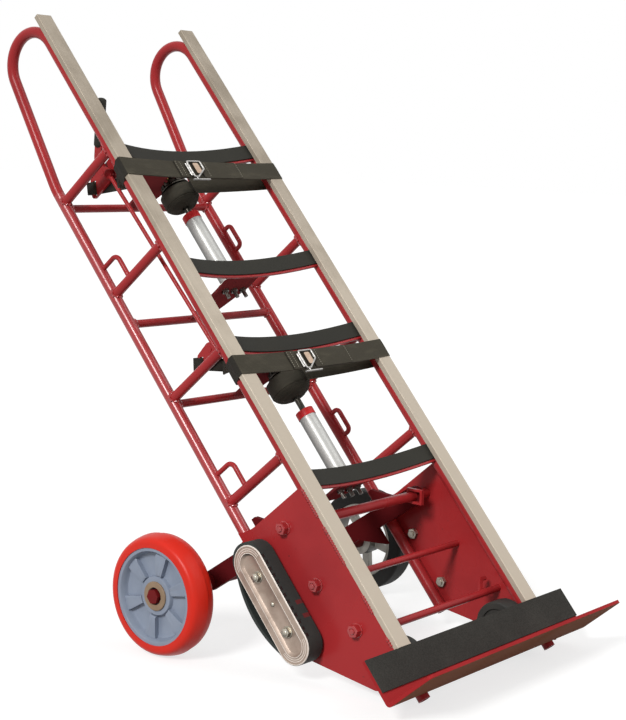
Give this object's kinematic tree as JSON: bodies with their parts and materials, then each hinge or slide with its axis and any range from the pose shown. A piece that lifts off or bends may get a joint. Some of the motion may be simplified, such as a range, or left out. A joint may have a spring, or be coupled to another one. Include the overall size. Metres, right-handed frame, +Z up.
{
  "type": "vending machine hand truck",
  "caption": "Tall hand truck for vending machines: toe plate, bowed crossbars, ratchet strap reels, stair climber belts, loop handles and a fold-up wheeled rear carriage.",
  "frame": {"origin": "on the floor under the centre of the truck's box, in its leaning pose on four wheels", "axes": "+Z up; -Y towards the load side; +Y towards the handles; +X to the truck's right"},
  "size_m": [0.656, 1.1548, 1.147],
  "materials": {
    "red_paint": "gloss red paint over welded steel",
    "rail_aluminium": "satin extruded strip with fine lengthwise lines",
    "black_rubber": "matt black rubber",
    "webbing": "woven olive-black webbing",
    "chrome": "bright plated",
    "galvanised": "galvanised tube",
    "brass": "yellow zinc plated",
    "zinc": "zinc plated fasteners",
    "cast_cover": "sand-cast aluminium cover",
    "red_tread": "poured polyurethane tread",
    "hub_plastic": "blue-grey moulded hub",
    "tyre_rubber": "solid black rubber tyre",
    "cast_hub": "silver cast hub",
    "dark_rubber": "dark grey rubber",
    "roller_plastic": "dark plastic"
  },
  "bodies": {
    "frame": {"left_front_tube": "red_paint", "right_front_tube": "red_paint", "left_handle": "red_paint", "right_handle": "red_paint", "left_rear_tube": "red_paint", "right_rear_tube": "red_paint", "left_rail_strip": "rail_aluminium", "right_rail_strip": "rail_aluminium", "struts": "red_paint", "rear_cross_tubes": "red_paint", "crossbars": "red_paint", "crossbar_pads": "black_rubber", "rod_loops": "red_paint", "left_side_plate": "red_paint", "right_side_plate": "red_paint", "toe_plate": "red_paint", "grip_strip": "black_rubber", "pivot_rod": "red_paint", "mid_rod": "red_paint", "lower_rod": "red_paint", "front_axle": "zinc", "plate_bolts": "red_paint", "left_climber_belt": "black_rubber", "right_climber_belt": "black_rubber", "left_climber_cover": "cast_cover", "right_climber_cover": "cast_cover", "climber_cores": "roller_plastic", "climber_bolts": "zinc", "reel_plates": "red_paint", "upper_spring_tube": "galvanised", "lower_spring_tube": "galvanised", "spring_caps": "red_paint", "spring_bolts": "chrome", "upper_strap": "webbing", "lower_strap": "webbing", "upper_strap_tail": "webbing", "lower_strap_tail": "webbing", "buckles": "chrome", "lever_brackets": "red_paint"},
    "carriage": {"left_arm": "red_paint", "right_arm": "red_paint", "pivot_tube": "red_paint", "carriage_axle": "red_paint"},
    "left_wheel": {"left_wheel_tread": "red_tread", "left_wheel_hub": "hub_plastic"},
    "right_wheel": {"right_wheel_tyre": "tyre_rubber", "right_wheel_hub": "cast_hub"},
    "left_front_roller": {"left_front_wheel": "dark_rubber"},
    "right_front_roller": {"right_front_wheel": "dark_rubber"},
    "upper_reel": {"upper_reel_shaft": "chrome", "upper_strap_roll": "webbing"},
    "lower_reel": {"lower_reel_shaft": "chrome", "lower_strap_roll": "webbing"},
    "upper_pawl_arm": {"upper_pawl": "brass"},
    "lower_pawl_arm": {"lower_pawl": "brass"},
    "lever": {"ratchet_lever": "red_paint", "lever_grip": "black_rubber"},
    "link": {"link_rod": "red_paint"},
    "second_crank": {"lower_crank": "red_paint"}
  },
  "joints": [
    {"name": "carriage_fold", "type": "hinge", "parent": "frame", "child": "carriage", "pos_m": [0, -0.19207, 0.25015], "axis": [1, 0, 0], "range_deg": [0, 50]},
    {"name": "left_wheel_spin", "type": "hinge", "parent": "carriage", "child": "left_wheel", "pos_m": [-0.3025, 0.0189, 0.104], "axis": [1, 0, 0], "continuous": true},
    {"name": "right_wheel_spin", "type": "hinge", "parent": "carriage", "child": "right_wheel", "pos_m": [0.3025, 0.0189, 0.104], "axis": [1, 0, 0], "continuous": true},
    {"name": "left_front_wheel_spin", "type": "hinge", "parent": "frame", "child": "left_front_roller", "pos_m": [-0.16, -0.41153, 0.045], "axis": [1, 0, 0], "continuous": true},
    {"name": "right_front_wheel_spin", "type": "hinge", "parent": "frame", "child": "right_front_roller", "pos_m": [0.16, -0.41153, 0.045], "axis": [1, 0, 0], "continuous": true},
    {"name": "upper_reel_spin", "type": "hinge", "parent": "frame", "child": "upper_reel", "pos_m": [0, 0.28967, 0.80195], "axis": [0, 0.6587, 0.7524], "continuous": true},
    {"name": "lower_reel_spin", "type": "hinge", "parent": "frame", "child": "lower_reel", "pos_m": [0, -0.0074, 0.46261], "axis": [0, 0.6587, 0.7524], "continuous": true},
    {"name": "upper_pawl_swing", "type": "hinge", "parent": "frame", "child": "upper_pawl_arm", "pos_m": [-0.038, 0.29447, 0.83628], "axis": [0, 0.6587, 0.7524], "range_deg": [0, 25]},
    {"name": "lower_pawl_swing", "type": "hinge", "parent": "frame", "child": "lower_pawl_arm", "pos_m": [-0.038, -0.0026, 0.49694], "axis": [0, 0.6587, 0.7524], "range_deg": [0, 25]},
    {"name": "lever_pull", "type": "hinge", "parent": "frame", "child": "lever", "pos_m": [-0.16, 0.34297, 0.84765], "axis": [-1, 0, 0], "range_deg": [0, 36], "deforming": ["upper_strap_tail", "lower_strap_tail"]},
    {"name": "link_swing", "type": "hinge", "parent": "lever", "child": "link", "pos_m": [-0.169, 0.31616, 0.84587], "axis": [-1, 0, 0], "range_deg": [-36, 0]},
    {"name": "second_crank_turn", "type": "hinge", "parent": "frame", "child": "second_crank", "pos_m": [-0.16, 0.04694, 0.53531], "axis": [-1, 0, 0], "range_deg": [0, 36]}
  ],
  "couplings": [
    {"joint": "link_swing", "follows": "lever_pull", "ratio": -1},
    {"joint": "second_crank_turn", "follows": "lever_pull", "ratio": 1}
  ]
}
